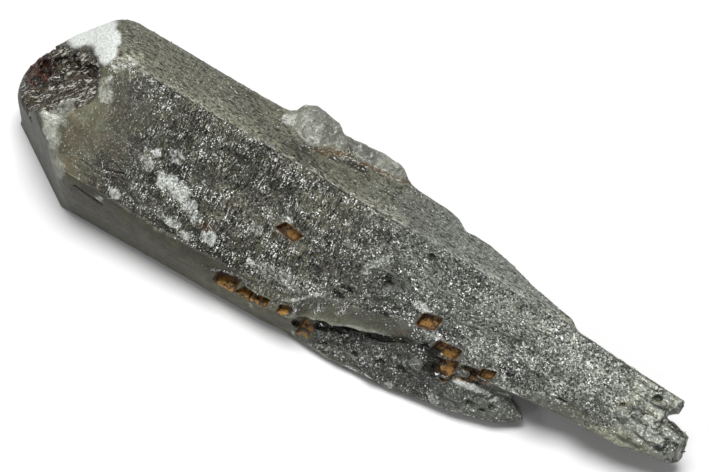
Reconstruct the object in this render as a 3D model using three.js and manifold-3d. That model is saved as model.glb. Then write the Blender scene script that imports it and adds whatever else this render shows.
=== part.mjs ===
// A smoky quartz crystal lying on its side. Millimetres, +Z up.
// X runs along the crystal: the thick broken end is at -X, the thin flaky tip at +X.
// The side that faces -Y is called the front. The crystal rests on a flat underside at z = 0.
import * as THREE from "three";
import { ConvexGeometry } from "three/addons/geometries/ConvexGeometry.js";
import { mergeVertices } from "three/addons/utils/BufferGeometryUtils.js";
import Module from "manifold-3d";

const wasm = await Module();
wasm.setup();

// ---------------------------------------------------------------- driving dimensions

// The ridge is the straight edge between the two upper faces; `WEAR` is how far it is
// rounded down the front face.
const RIDGE = { y: 1.3, z: 32.9, drift: 0.02, fall: 0.112 };
const WEAR = [[-112, 0], [60, 0], [63, 0.7], [76, 1.3], [98.4, 1.9]];
const FRONT_SLOPE = THREE.MathUtils.degToRad(35);
const BACK_SLOPE = THREE.MathUtils.degToRad(25);

// Widths [x, width] of the upper faces, measured down from the ridge.
const FRONT_WIDTH = [
  [-112, 33], [-40, 33], [-12, 31], [-1.5, 29], [0.3, 26.5], [10.5, 24], [18.3, 22], [22, 20.5],
  [46.6, 20.5], [61, 19], [69, 16], [84, 15], [92, 13], [98.4, 11.5],
];
const BACK_WIDTH = [
  [-112, 17.9], [-12, 17.2], [0.3, 17], [10.5, 16.2], [18.3, 15.7], [21.8, 14.8], [25.2, 11.1],
  [27.5, 12], [32, 11.6], [37, 10.2], [40.6, 9], [46.6, 6.4], [54, 4.2], [60.4, 2.6], [62.2, 0.8],
  [98.4, 0.6],
];

// The other edges of the main crystal, as [x, y, z] corners from the thick end to the tip.
// `LIP` is the lower front shoulder. The lower plate carries it as far as x = -1.5 and ends
// there in a break; past the break the lip hangs over the lower blade.
const LIP = [
  [-112, -29.4, 14.5], [-66, -28.4, 14.5], [-40, -28.4, 13], [-12, -28, 11], [-1.5, -27, 11],
  [0.3, -24.9, 10.6], [3, -24.8, 10.3], [5.7, -23.4, 10], [7.5, -23.6, 10.2], [10.5, -21.8, 10],
  [14, -21, 10.4], [18.3, -19.2, 10.2], [22, -18, 11], [25, -17.2, 14.5], [32, -17, 15.4],
  [40, -17, 14.6], [46.6, -16.6, 13.8], [54, -15.8, 13.2], [61, -14.8, 12.8], [69, -12.9, 11.6],
  [76, -13.2, 11], [84, -12.7, 10.4], [92, -10.6, 10], [98.4, -9.4, 9.6],
];
const FOOT = [
  [-112, -28.4, 1.6], [-66, -27.6, 1.6], [-40, -27.6, 1.6], [-12, -27.4, 1.6], [-1.5, -26.6, 1.6],
  [0.3, -18.6, 10.2], [5.7, -18, 9.8], [10.5, -17, 9.8], [18.3, -15, 10.2], [25, -14.5, 9.6],
  [40, -14, 7.5], [61, -11.5, 6], [84, -9.6, 6], [98.4, -7, 6],
];
const BASE_FRONT = [
  [-112, -27, 0], [-12, -26, 0], [-1.5, -25.2, 0], [0.3, -17, 0], [18.3, -13, 0], [25, -12, 0],
  [40, -10, 1.6], [61, -8, 3], [98.4, -4.5, 4],
];
const BASE_BACK = [
  [-112, 5, 0], [-66, 5, 0], [-12, 3, 0], [25, 1.5, 0], [40, 0, 1.6], [61, 0, 3], [98.4, 0, 4],
];
const LOW_BACK = [
  [-112, 14, 7], [-66, 14, 7], [-12, 12.5, 7], [10.5, 12, 7], [25, 10, 7], [46.6, 8, 7.5],
  [61, 7, 7.5], [98.4, 3.6, 8],
];
const MID_BACK = [
  [-112, 19.5, 18], [-66, 19.5, 18], [-12, 18.5, 17], [10.5, 18, 16], [25, 15, 15.5],
  [40, 13.5, 15.5], [46.6, 10.5, 15.5], [54, 8.6, 15.5], [61, 6.2, 15], [98.4, 4, 12.5],
];

// The lower blade carries the lower plate on, under the lip, to a point of its own. Beyond
// x = 48 a wedge-shaped gap parts it from the main crystal.
const BLADE_EDGES = [
  [[-4, -16, 10], [12, -15, 10], [22, -14, 11], [30, -13.5, 14.5], [44, -13, 13], [52, -12.5, 9.5],
    [60, -15.2, 5]],
  [[-4, -21.6, 7.4], [12, -20.6, 7.2], [22, -18.6, 8.6], [30, -18, 12.6], [44, -16.5, 11.2],
    [52, -14.5, 9], [60, -15.6, 5]],
  [[-4, -27, 3], [8, -27.6, 3], [15, -27.2, 2.6], [25, -26.6, 2.4], [32, -25.4, 3], [44, -23.6, 3.4],
    [54, -20.6, 3.6], [60, -16.6, 3.6]],
  [[-4, -26, 0], [8, -26.6, 0], [25, -25.4, 0], [44, -22.2, 0.8], [54, -19, 1.4], [60, -16, 2.4]],
  [[-4, -12, 0], [25, -11, 0], [44, -11.5, 0.8], [52, -11.5, 2], [60, -15, 2.4]],
];

// Flat breaks that end the thick end: a point on each and the way it faces.
const END_BREAKS = [
  { at: [-98.6, -13, 0], facing: [-0.516, -0.857, 0.04] },
  { at: [-85, -19.3, 30], facing: [-0.245, -0.83, 0.5] },
  { at: [-72, -28.1, 10], facing: [-0.267, -0.963, 0.02] },
  { at: [-101, -11.6, 0], facing: [-0.926, -0.378, 0.05] },
  { at: [-102.3, -5.4, 20], facing: [-0.919, 0.394, 0.08] },
  { at: [-99.3, 0.2, 22], facing: [-0.724, 0.689, 0.1] },
  { at: [-93.4, 6.4, 26], facing: [-0.581, 0.815, 0.12] },
  { at: [-100.5, -11.6, 15], facing: [-0.725, -0.281, 0.63] },
  { at: [-75.3, -4.8, 38.1], facing: [-0.567, -0.084, 0.82] },
];
// The bite of the fracture into the front face, and the deeper hollow in it.
const BITE = [
  [-72.6, -10.5, 32.6], [-74.6, -5, 35], [-80.5, 0.4, 34.4], [-99, 3, 21.8], [-102, -7, 19.2],
  [-97, -15.4, 18.4], [-80, -17.4, 28.6], [-71, -10.5, 48], [-73, -4, 48], [-80, 2.4, 48],
  [-104, 5, 48], [-104, -16, 48], [-80, -18.6, 48],
];
const HOLLOWS = [
  { at: [-94.5, -8.6, 23.4], size: [5.4, 4.6, 3.2] },
  { at: [-88, -6, 27], size: [4.6, 3, 2.4] },
  { at: [-0.4, -25.6, 8.2], size: [2.4, 2, 4] },
  { at: [-70.5, -2.2, 39.4], size: [3.4, 2, 1.2] },
  { at: [-65.4, 0.2, 40], size: [2.4, 1.4, 1.2] },
];

// The small side crystal and the flange, both sunk into the upper back edge.
const SIDE_CRYSTAL = [
  [-31, 15.4, 28.6], [-29.7, 12, 30.4], [-24.5, 8.8, 31.2], [-19.1, 6.6, 31.6], [-16.6, 7.7, 30.8],
  [-12.8, 15.2, 27.4], [-27.3, 18.1, 32.4], [-24.6, 20.4, 31.8], [-20.2, 19.8, 31.6],
  [-16, 19.3, 30.4], [-14.4, 18.2, 29.4], [-25.2, 13.6, 33.2], [-21.6, 10.6, 33.5],
  [-17.6, 11.4, 32.6], [-18.6, 15, 33], [-24.6, 17, 33.6], [-25.4, 21.6, 29.4], [-17, 20.9, 27.6],
  [-27, 17, 18], [-15, 17, 17], [-20, 9, 24],
];
const FLANGE = [
  [-15, 9.8, 29.6], [-12.4, 11.8, 28.8], [-7.2, 12.8, 27.9], [-1.4, 13.2, 27], [4.3, 14.2, 25.9],
  [6.9, 15.9, 24], [-12.4, 13.8, 30.4], [-6.7, 14.8, 29.6], [1.9, 16.1, 28.4], [5, 16.1, 26.9],
  [-14.8, 18.4, 28.6], [-11.6, 18.9, 28.8], [-1.9, 19.6, 28.1], [3.4, 19.2, 27.2],
  [5.6, 17.6, 26.4], [-14, 17, 16], [3, 17, 15.5],
];

// Thin laths that lie in the gap between the blade and the main crystal.
const LATHS = [
  { from: [39.8, -18.6, 9.6], to: [51.8, -15, 7.6], width: 2, height: 1.7 },
  { from: [46.6, -15.8, 10.8], to: [55, -13.8, 9], width: 1.8, height: 1.5 },
  { from: [43.5, -18.2, 7.6], to: [53.6, -15.2, 5.6], width: 1.6, height: 1.5 },
];

// A small lens-shaped crystal that sits in one of the moulds.
const LENS = { at: [41.8, -15.6, 11], size: [2.5, 1.7, 1.7] };

// The shoulder is a band across the lip edge: this part of the brow above it lies outside the
// band, and this part of the skirt below it lies inside.
const SHOULDER = { above: 0.4, below: 0.35 };

// Rhomb-shaped moulds of crystals that have dissolved away: [x, down, length, width, depth, turn].
const MOULDS = {
  front: [
    [-11.8, 16.2, 7.2, 3.4, 2.6, -12], [29.5, 17.6, 6.4, 4.2, 2.4, 12], [36.4, 21.8, 8.4, 4.4, 3.2, 4],
    [38, 25.8, 6.4, 5.6, 4.4, 18], [43.4, 24.4, 5.6, 5.4, 4.4, 8], [48, 21.4, 4.4, 2.8, 2.6, 14],
    [17, 14.6, 2.6, 2, 1.8, 30], [8.7, 20.5, 2.4, 1.7, 1.6, 10], [7.4, 22.9, 2.6, 1.9, 1.8, 35],
    [23.6, 2.7, 1.6, 1.1, 1.2, 0], [29.2, 11.2, 1.9, 1.4, 1.4, 20], [80.2, 9.1, 1.5, 1.1, 1.2, 40],
    [87, 3, 2.8, 1.7, 2, 10], [-30, 22, 3, 2, 1.4, 15], [-18, 9, 2.4, 1.8, 1.4, 32],
  ],
  shoulder: [
    [-21.8, 3.1, 8, 6.4, 2.8, 6], [-15.6, 3, 4.8, 4.4, 2.6, -12], [-11.4, 2.6, 5, 3.2, 2.4, 4],
    [-5, 2.4, 3.4, 2.6, 2.2, 20],
  ],
  back: [[34.6, 6.2, 2.4, 1.9, 1.4, 20]],
  highBack: [[-52, 7, 6.4, 4.4, 3, 18], [-38, 11, 4, 3, 2.2, -12], [38, 5, 3, 2.2, 1.8, 30]],
  flank: [[-20, 5, 5.2, 3.8, 2.6, 22], [8, 6, 3.2, 2.4, 2, -18], [-70, 6, 4.4, 3.2, 2.4, 8]],
  lowBack: [[-40, 6, 6, 4.2, 2.6, 30], [20, 5, 4, 3, 2.2, 12]],
};
// Seeded scatters of small pits: how many, where along x, how long and how deep.
const PITS = [
  { face: "front", count: 26, x: [-40, 92], length: [1, 2], depth: 1.1 },
  { face: "highBack", count: 16, x: [-80, 60], length: [1.4, 3], depth: 1.2 },
  { face: "flank", count: 14, x: [-84, 90], length: [1.4, 3], depth: 1.2 },
  { face: "lowBack", count: 8, x: [-80, 80], length: [1.4, 2.6], depth: 1.1 },
  { face: "bladeTop", count: 24, x: [2, 54], length: [1.2, 3.2], depth: 1.4 },
];
// Seeded scatters of low growth plates: how many, where, how large and how proud.
const PLATES = [
  { face: "front", count: 12, x: [-30, 76], size: [5, 12], height: 0.5 },
  { face: "front", count: 16, x: [80, 96], size: [2.6, 5.4], height: 1.1 },
  { face: "brow", count: 8, x: [60, 95], size: [2.6, 5.4], height: 0.9 },
  { face: "highBack", count: 9, x: [-84, 40], size: [6, 12], height: 0.7 },
  { face: "flank", count: 8, x: [-84, 84], size: [6, 12], height: 0.8 },
  { face: "lowBack", count: 5, x: [-80, 60], size: [6, 10], height: 0.7 },
  { face: "bladeTop", count: 12, x: [3, 56], size: [3, 7], height: 1.1 },
];

// How far each kind of block stands over its face (top) or reaches under it (root), and how much
// smaller its lower outline is.
const MOULD_BLOCK = { top: 1.7, taper: 0.6 };
const PIT_BLOCK = { top: 1.4, taper: 0.5 };
const PLATE_BLOCK = { root: -2.2, taper: 1.15 };
const RHOMB_LEAN = 0.22;

// Splinters knocked out of the fracture, and nicks along the lip and around the tip.
const SPLINTERS = {
  count: 22, x: [-97, -77], y: [-13, 0], height: 26.8, rise: 0.62, size: [4.8, 2.6, 2.4],
};
const LIP_NICKS = { x: [1.5, 25], step: 2.3, size: [1.5, 1.5, 1.1] };
const TIP_CUTS = [
  [[93.6, -0.6, 0], [93.6, 9, 0], [110, -0.6, 0], [110, 9, 0], [93.2, -0.6, 40], [93.2, 9, 40],
    [110, -0.6, 40], [110, 9, 40]],
  [[90.4, -2, 0], [90.4, -2.3, 40], [94.5, 0.2, 0], [94, 0.2, 40], [110, 2, 0], [110, 2, 40],
    [99.5, -3, 0], [98.5, -3.2, 40], [110, -3.2, 0], [110, -3.2, 40]],
  [[90, -1.6, 15.6], [90, 9, 16], [87.5, 9, 0], [89.5, -1.6, 0], [110, -1.6, 17.5], [110, 9, 17.5],
    [110, -1.6, 0], [110, 9, 0]],
  [[97.4, -4.8, 14], [98.2, -4.8, 6], [96.8, -11, 12], [97.4, -11, 5], [110, -4.8, 18],
    [110, -11, 18], [110, -4.8, 5], [110, -11, 5], [97.8, -4.8, 22], [97, -11, 22]],
];
const TIP_NICKS = [
  [98, -2.6, 17.4], [98, -5.4, 13], [97.6, -8.6, 9.6], [96, -10, 10.4], [90.5, -11.6, 10.2],
  [93.5, 0.6, 20.5], [97.6, -3.4, 8.4], [86, -12.8, 11], [91, 2.4, 21.2], [94.6, -7.6, 14.6],
];
const TIP_NICK_SIZE = [1.7, 1.4, 1.2];
// A line inside the crystal, to tell outward from inward.
const CORE = { y: -3, z: 12 };
const COLOUR = 0x5d5b54;

// ---------------------------------------------------------------- solids

function toSolid(geometry) {
  geometry.deleteAttribute("normal");
  geometry.deleteAttribute("uv");
  const merged = mergeVertices(geometry, 1e-5);
  return new wasm.Manifold(new wasm.Mesh({
    numProp: 3,
    vertProperties: merged.attributes.position.array,
    triVerts: new Uint32Array(merged.index.array),
  }));
}

function toGeometry(solid) {
  const mesh = solid.getMesh();
  const geometry = new THREE.BufferGeometry();
  geometry.setAttribute("position", new THREE.BufferAttribute(mesh.vertProperties, 3));
  geometry.setIndex(new THREE.BufferAttribute(mesh.triVerts, 1));
  geometry.computeVertexNormals();
  return geometry;
}

function hull(points) {
  return toSolid(new ConvexGeometry(points));
}

function vectors(rows) {
  return rows.map((row) => new THREE.Vector3(...row));
}

// A closed skin through sections that all have the same number of corners.
function loft(sections) {
  const corners = sections[0].length;
  const positions = sections.flat().flatMap((point) => point.toArray());
  const index = [];
  for (let s = 0; s + 1 < sections.length; s += 1) {
    for (let c = 0; c < corners; c += 1) {
      const here = s * corners + c;
      const next = s * corners + (c + 1) % corners;
      index.push(here, next, here + corners, next, next + corners, here + corners);
    }
  }
  [0, sections.length - 1].forEach((s, end) => {
    const middle = positions.length / 3;
    const sum = sections[s].reduce((total, point) => total.add(point), new THREE.Vector3());
    positions.push(...sum.divideScalar(corners).toArray());
    for (let c = 0; c < corners; c += 1) {
      const here = s * corners + c;
      const next = s * corners + (c + 1) % corners;
      index.push(...(end ? [here, next, middle] : [next, here, middle]));
    }
  });
  const geometry = new THREE.BufferGeometry();
  geometry.setAttribute("position", new THREE.Float32BufferAttribute(positions, 3));
  geometry.setIndex(index);
  return toSolid(geometry);
}

// Everything beyond a plane, as a block to cut with.
function beyond(point, facing) {
  const size = 300;
  const block = new THREE.BoxGeometry(size, size, size).translate(0, 0, size / 2);
  const turn = new THREE.Quaternion().setFromUnitVectors(new THREE.Vector3(0, 0, 1), facing);
  block.applyQuaternion(turn).translate(...point.toArray());
  return toSolid(block);
}

function seededRandom(seed) {
  let state = seed;
  return () => {
    state = (state + 0x6d2b79f5) | 0;
    let mixed = Math.imul(state ^ (state >>> 15), 1 | state);
    mixed = (mixed + Math.imul(mixed ^ (mixed >>> 7), 61 | mixed)) ^ mixed;
    return ((mixed ^ (mixed >>> 14)) >>> 0) / 4294967296;
  };
}

const random = seededRandom(11);

function between(low, high) {
  return THREE.MathUtils.lerp(low, high, random());
}

// ---------------------------------------------------------------- edges and faces

// Reads a table of [x, ...values] rows at any x, straight between the rows.
function sample(table, x) {
  const after = table.findIndex((row) => row[0] > x);
  if (after === 0) return table[0].slice(1);
  if (after < 0) return table[table.length - 1].slice(1);
  const [a, b] = [table[after - 1], table[after]];
  return a.slice(1).map((value, i) => THREE.MathUtils.mapLinear(x, a[0], b[0], value, b[i + 1]));
}

function edgePoint(table, x) {
  return new THREE.Vector3(x, ...sample(table, x));
}

function stationsOf(...tables) {
  const all = tables.flat().map((row) => row[0]);
  return [...new Set(all)].sort((a, b) => a - b);
}

function onFront(x, down) {
  const ridge = new THREE.Vector3(x, RIDGE.y + RIDGE.drift * x, RIDGE.z - RIDGE.fall * x);
  const step = new THREE.Vector3(0, -Math.cos(FRONT_SLOPE), -Math.sin(FRONT_SLOPE));
  return ridge.addScaledVector(step, down);
}

function ridgePoint(x) {
  return onFront(x, sample(WEAR, x)[0]);
}

function onBack(x, down) {
  const step = new THREE.Vector3(0, Math.cos(BACK_SLOPE), -Math.sin(BACK_SLOPE));
  return ridgePoint(x).addScaledVector(step, down);
}

function frontEdge(x) {
  return onFront(x, sample(FRONT_WIDTH, x)[0]);
}

function backEdge(x) {
  return onBack(x, sample(BACK_WIDTH, x)[0]);
}

// Each face lies between two edges; distances down it start at the first.
const FACES = {
  front: [ridgePoint, frontEdge],
  brow: [frontEdge, (x) => edgePoint(LIP, x)],
  shoulder: [
    (x) => frontEdge(x).lerp(edgePoint(LIP, x), SHOULDER.above),
    (x) => edgePoint(LIP, x).lerp(edgePoint(FOOT, x), SHOULDER.below),
  ],
  back: [ridgePoint, backEdge],
  highBack: [backEdge, (x) => edgePoint(MID_BACK, x)],
  flank: [(x) => edgePoint(MID_BACK, x), (x) => edgePoint(LOW_BACK, x)],
  lowBack: [(x) => edgePoint(LOW_BACK, x), (x) => edgePoint(BASE_BACK, x)],
  bladeTop: [(x) => edgePoint(BLADE_EDGES[1], x), (x) => edgePoint(BLADE_EDGES[2], x)],
};

function faceWidth(face, x) {
  const [first, second] = FACES[face];
  return first(x).distanceTo(second(x));
}

// A frame on a face: X along the crystal, Y down the face, Z out of it.
function faceFrame(face, x, down) {
  const [first, second] = FACES[face];
  const start = first(x);
  const downward = second(x).sub(start).normalize();
  const along = first(x + 1).sub(first(x - 1)).normalize();
  const outward = along.cross(downward).normalize();
  const core = new THREE.Vector3(x, CORE.y, CORE.z);
  if (outward.dot(start.clone().sub(core)) < 0) outward.negate();
  const sideways = new THREE.Vector3().crossVectors(downward, outward).normalize();
  return new THREE.Matrix4()
    .makeBasis(sideways, downward, outward)
    .setPosition(start.addScaledVector(downward, down));
}

// ---------------------------------------------------------------- surface features

// A tapering block on a face. `outline` is in face millimetres, `top` and `bottom` are heights
// over the face, and the bottom outline is `taper` times the top one.
function faceBlock(frame, outline, top, bottom, taper, turn) {
  const spin = THREE.MathUtils.degToRad(turn);
  const ring = (height, scale) => outline.map(([u, v]) => new THREE.Vector3(
    (u * Math.cos(spin) - v * Math.sin(spin)) * scale,
    (u * Math.sin(spin) + v * Math.cos(spin)) * scale,
    height,
  ).applyMatrix4(frame));
  return hull([...ring(top, 1), ...ring(bottom, taper)]);
}

function rhomb(length, width) {
  const lean = width * RHOMB_LEAN;
  return [
    [-length / 2 - lean, -width / 2], [length / 2 - lean, -width / 2],
    [length / 2 + lean, width / 2], [-length / 2 + lean, width / 2],
  ];
}

function mould(face, [x, down, length, width, depth, turn]) {
  const outline = rhomb(length, width);
  const { top, taper } = MOULD_BLOCK;
  return faceBlock(faceFrame(face, x, down), outline, top, -depth, taper, turn);
}

function smallPit({ face, x: [from, to], length: [shortest, longest], depth }) {
  const x = between(from, to);
  const down = faceWidth(face, x) * between(0.12, 0.88);
  const length = between(shortest, longest);
  const outline = rhomb(length, length * between(0.45, 0.75));
  const frame = faceFrame(face, x, down);
  const { top, taper } = PIT_BLOCK;
  return faceBlock(frame, outline, top, -depth * between(0.7, 1.1), taper, between(-25, 25));
}

function growthPlate({ face, x: [from, to], size: [least, most], height }) {
  const x = between(from, to);
  const down = faceWidth(face, x) * between(0.15, 0.85);
  const length = between(least, most);
  const width = Math.min(length * between(0.45, 0.7), faceWidth(face, x) * 0.6);
  const outline = [0, 1, 2, 3, 4, 5].map((corner) => {
    const angle = (corner + between(-0.25, 0.25)) * Math.PI / 3;
    return [Math.cos(angle) * length / 2, Math.sin(angle) * width / 2];
  });
  const frame = faceFrame(face, x, down);
  const { root, taper } = PLATE_BLOCK;
  return faceBlock(frame, outline, height * between(0.6, 1), root, taper, between(-12, 12));
}

// A splinter-shaped solid with flat faces, for rough breaks.
function shard(at, size, turn) {
  const centre = new THREE.Vector3(...at);
  const points = Array.from({ length: 9 }, () => {
    const direction = new THREE.Vector3(between(-1, 1), between(-1, 1), between(-1, 1)).normalize();
    return direction.multiply(new THREE.Vector3(...size)).applyEuler(turn).add(centre);
  });
  return hull(points);
}

function anyTurn() {
  return new THREE.Euler(between(-3, 3), between(-3, 3), between(-3, 3));
}

// A thin pointed lath between two ends.
function lath({ from, to, width, height }) {
  const start = new THREE.Vector3(...from);
  const axis = new THREE.Vector3(...to).sub(start);
  const side = new THREE.Vector3(0.25, -0.8, -0.5).cross(axis).cross(axis).normalize();
  const up = new THREE.Vector3().crossVectors(axis, side).normalize();
  const ring = (t, scale) => [0, 1, 2, 3, 4, 5].map((corner) => {
    const angle = corner * Math.PI / 3;
    return start.clone().addScaledVector(axis, t)
      .addScaledVector(side, Math.cos(angle) * width * scale / 2)
      .addScaledVector(up, Math.sin(angle) * height * scale / 2);
  });
  return hull([...ring(0, 0.5), ...ring(0.1, 1), ...ring(0.86, 0.95), ...ring(1, 0.3)]);
}

function lens({ at, size }) {
  return toSolid(new THREE.IcosahedronGeometry(1, 1).scale(...size).translate(...at));
}

// ---------------------------------------------------------------- the crystal

function mainCrystal() {
  const edges = [LIP, FOOT, BASE_FRONT, BASE_BACK, LOW_BACK, MID_BACK];
  const stations = stationsOf(WEAR, FRONT_WIDTH, BACK_WIDTH, ...edges);
  return loft(stations.map((x) => [
    ridgePoint(x),
    frontEdge(x),
    ...edges.map((edge) => edgePoint(edge, x)),
    backEdge(x),
  ]));
}

function lowerBlade() {
  return loft(stationsOf(...BLADE_EDGES).map((x) => BLADE_EDGES.map((edge) => edgePoint(edge, x))));
}

// The thick end is cut by flat breaks, with a splintered bite taken out of the upper one.
function brokenEnd(solid) {
  let result = solid;
  END_BREAKS.forEach(({ at, facing }) => {
    const normal = new THREE.Vector3(...facing).normalize();
    result = result.subtract(beyond(new THREE.Vector3(...at), normal));
  });
  result = result.subtract(hull(vectors(BITE)));
  for (let i = 0; i < SPLINTERS.count; i += 1) {
    const x = between(...SPLINTERS.x);
    const z = SPLINTERS.height + SPLINTERS.rise * (x - (SPLINTERS.x[0] + SPLINTERS.x[1]) / 2);
    const turn = new THREE.Euler(between(-0.6, 0.6), between(-1, 0), between(-0.7, 0.7));
    result = result.subtract(shard([x, between(...SPLINTERS.y), z], SPLINTERS.size, turn));
  }
  return result;
}

function nicks() {
  const steps = Math.floor((LIP_NICKS.x[1] - LIP_NICKS.x[0]) / LIP_NICKS.step);
  const alongLip = Array.from({ length: steps }, (unused, i) => {
    const x = LIP_NICKS.x[0] + (i + between(-0.3, 0.3)) * LIP_NICKS.step;
    return shard(edgePoint(LIP, x).toArray(), LIP_NICKS.size, anyTurn());
  });
  return [...alongLip, ...TIP_NICKS.map((at) => shard(at, TIP_NICK_SIZE, anyTurn()))];
}

// The blunt tip: a spike of the ridge, undercut and with a notch beside it, and a stepped end.
function bluntTip(solid) {
  return TIP_CUTS.reduce((result, rows) => result.subtract(hull(vectors(rows))), solid);
}

function buildCrystal() {
  const added = [
    lowerBlade(),
    hull(vectors(SIDE_CRYSTAL)),
    hull(vectors(FLANGE)),
    ...PLATES.flatMap((scatter) => Array.from({ length: scatter.count }, () => growthPlate(scatter))),
  ];
  const removed = [
    ...HOLLOWS.map(({ at, size }) => shard(at, size, new THREE.Euler(0, -0.5, 0.2))),
    ...Object.entries(MOULDS).flatMap(([face, rows]) => rows.map((row) => mould(face, row))),
    ...PITS.flatMap((scatter) => Array.from({ length: scatter.count }, () => smallPit(scatter))),
    ...nicks(),
    beyond(new THREE.Vector3(), new THREE.Vector3(0, 0, -1)),
  ];
  const whole = added.reduce((solid, piece) => solid.add(piece), mainCrystal());
  const cut = removed.reduce((solid, piece) => solid.subtract(piece), bluntTip(brokenEnd(whole)));
  return [lens(LENS), ...LATHS.map(lath)].reduce((solid, piece) => solid.add(piece), cut);
}

const crystal = new THREE.Mesh(
  toGeometry(buildCrystal()),
  new THREE.MeshStandardMaterial({ color: COLOUR, roughness: 0.45, metalness: 0 }),
);
crystal.name = "smoky_quartz_crystal";

const part = new THREE.Group();
part.add(crystal);
export default part;
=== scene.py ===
"""Looks of a smoky quartz crystal that lies on its side.

The frame is in metres; the tables below are in millimetres in the same frame. X runs along the
crystal from the thick broken end to the thin tip, and -Y is its front.
"""

import functools
import math

import bmesh
import bpy
import numpy as np
from mathutils import Matrix, Vector
from mathutils.bvhtree import BVHTree
from mathutils.kdtree import KDTree


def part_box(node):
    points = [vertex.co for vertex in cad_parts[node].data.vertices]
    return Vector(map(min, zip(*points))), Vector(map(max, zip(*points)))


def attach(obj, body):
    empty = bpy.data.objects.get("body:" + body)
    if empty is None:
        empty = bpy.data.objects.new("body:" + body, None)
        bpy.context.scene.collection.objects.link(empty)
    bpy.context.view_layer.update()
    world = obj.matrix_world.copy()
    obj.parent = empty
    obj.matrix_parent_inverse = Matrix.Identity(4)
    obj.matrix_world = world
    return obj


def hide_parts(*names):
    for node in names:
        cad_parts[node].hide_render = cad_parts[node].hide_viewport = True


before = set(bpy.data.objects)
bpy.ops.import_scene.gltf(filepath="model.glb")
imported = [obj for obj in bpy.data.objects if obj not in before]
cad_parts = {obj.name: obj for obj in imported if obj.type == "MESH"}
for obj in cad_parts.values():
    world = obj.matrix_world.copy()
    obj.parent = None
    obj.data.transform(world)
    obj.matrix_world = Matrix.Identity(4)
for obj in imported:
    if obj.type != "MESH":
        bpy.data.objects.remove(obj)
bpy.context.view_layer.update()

MM = 0.001
NODE = "smoky_quartz_crystal"

# ---- measures, in millimetres

# The camera looks down on the crystal from the front right.
CAMERA_PLACE = (134.6, -211, 449.6)
CAMERA_AZIMUTH = 32.6
CAMERA_ELEVATION = 60
CAMERA_LENS = 100
CAMERA_SENSOR = 36
CAMERA_START = 0.01
# Lights by azimuth and elevation, with distance and size in metres and power in watts. The glints
# make the front's facets sparkle.
KEY = (208, 82)
KEY_LIGHT = {"distance": 0.9, "size": 0.46, "power": 16}
GLINTS = ((-48, 42), (38, 46), (-6, 30))
GLINT_LIGHT = {"distance": 0.8, "size": 0.1, "power": 0.6}
SKY_STRENGTH = 0.2
# The white ground: half its width in metres, and how far under the crystal it lies.
GROUND_HALF = 1.5
GROUND_DROP = 0.2
GROUND_GREY = 0.5

# The remesh: its octree depth and scale, and the triangles kept of it.
GRID_DEPTH = 9
GRID_SCALE = 0.9
TRIANGLES = 194000
# Turns of smoothing that wear edges round, and the place that is hardly worn.
WEAR_TURNS = 60
AROUND_LATHS = ((43, -17, 11), (10, 5, 6))
# Growth plates on the rough faces: how many, how high they stand, how deep their roots go, the
# ranges of the long and of the short ones, and the faces between their eight points.
HILLOCKS = 16000
HILLOCK_HEIGHT = 0.07
HILLOCK_ROOT = 0.5
HILLOCK_LENGTHS = ((0.3, 1.5), (0.25, 0.6))
HILLOCK_WIDTHS = ((0.14, 0.36), (0.2, 0.4))
HILLOCK_FACES = ((0, 1, 2, 3), (7, 6, 5, 4), (0, 4, 5, 1), (1, 5, 6, 2), (2, 6, 7, 3), (3, 7, 4, 0))

# The ridge line, and the way the two upper faces look.
RIDGE = {"y": 1.3, "z": 32.9, "drift": 0.02, "fall": 0.112}
FRONT_FACING = (0.1, -0.57, 0.815)
BACK_FACING = (0.09, 0.42, 0.9)
FRONT_DOWN = (0, -0.819, -0.574)
# The way the old face at the thick end looks.
END_FACING = (-0.517, -0.855, 0.04)

# Changes along X: where each begins and where it is complete.
GLASS_FADES = (-76, -50)
GRAIN_GROWS = (-70, -42)
OLD_FACE_ENDS = (-84, -78)
FRACTURE_ENDS = (-72, -70.5)
STREAKS_FADE = (-6, 22)
SKIRT_ENDS = (-3, 0)
BLADE_BEGINS = (0, 4)
TOP_EDGE_PALES = (54, 64)
TIP_BEGINS = (79, 84)
TIP_ENDS = (90, 94)

# Noises over the crystal: their size, seed and, where not three, octaves.
WOBBLE = (5, 21)
CLOUDS = ((9, 6, 6), 81, 4)
PATCHES = ((2.4, 3.6, 3.6), 82)
STRIPES = ((1.3, 16, 16), 83)
VEILED = ((16, 8, 8), 86)
VEILS = ((12, 7, 7), 87)
VEINS = ((3.6, 2.6, 2.6), 88)
CRUMBS = ((2.6, 1.6, 1.6), 89)
MILK_UNEVEN = (0.9, 15)
GAP_BREAKS = ((2.4, 1.3, 1.3), 16)
PLATES = ((5.2, 2.3), 57)
CRACKS = (3, 58)
CROWDS = ((5, 8, 8), 91)
TRAILS = ((1.8, 5, 5), 92)


def on_front(x, down, depth=0):
    """A point so far down the front face from the ridge and so deep under it."""
    ridge = np.array([x, RIDGE["y"] + RIDGE["drift"] * x, RIDGE["z"] - RIDGE["fall"] * x])
    return ridge + down * np.array(FRONT_DOWN) - depth * np.array(FRONT_FACING)


# ---- fields over points


def smooth(low, high, value):
    """A soft step: 0 below the low value and 1 above the high one."""
    t = np.clip((value - low) / (high - low), 0, 1)
    return t * t * (3 - 2 * t)


def fading(low, high, value):
    """What the soft step leaves of 1."""
    return 1 - smooth(low, high, value)


def random_vectors(cells, seed):
    """Three numbers from 0 to 1 for each cell, always the same."""
    n = cells.astype(np.int64)
    key = n[..., 0] * 73856093 ^ n[..., 1] * 19349663 ^ n[..., 2] * 83492791 ^ seed * 2654435761
    out = []
    for turn in range(3):
        key = (key ^ (key >> 15)) * 0x2C1B3C6D & 0xFFFFFFFF
        key = (key ^ (key >> 12)) * 0x297A2D39 & 0xFFFFFFFF
        key = key ^ (key >> 15)
        out.append(((key + turn * 40503) & 0xFFFF) / 65535)
    return np.stack(out, -1)


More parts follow.
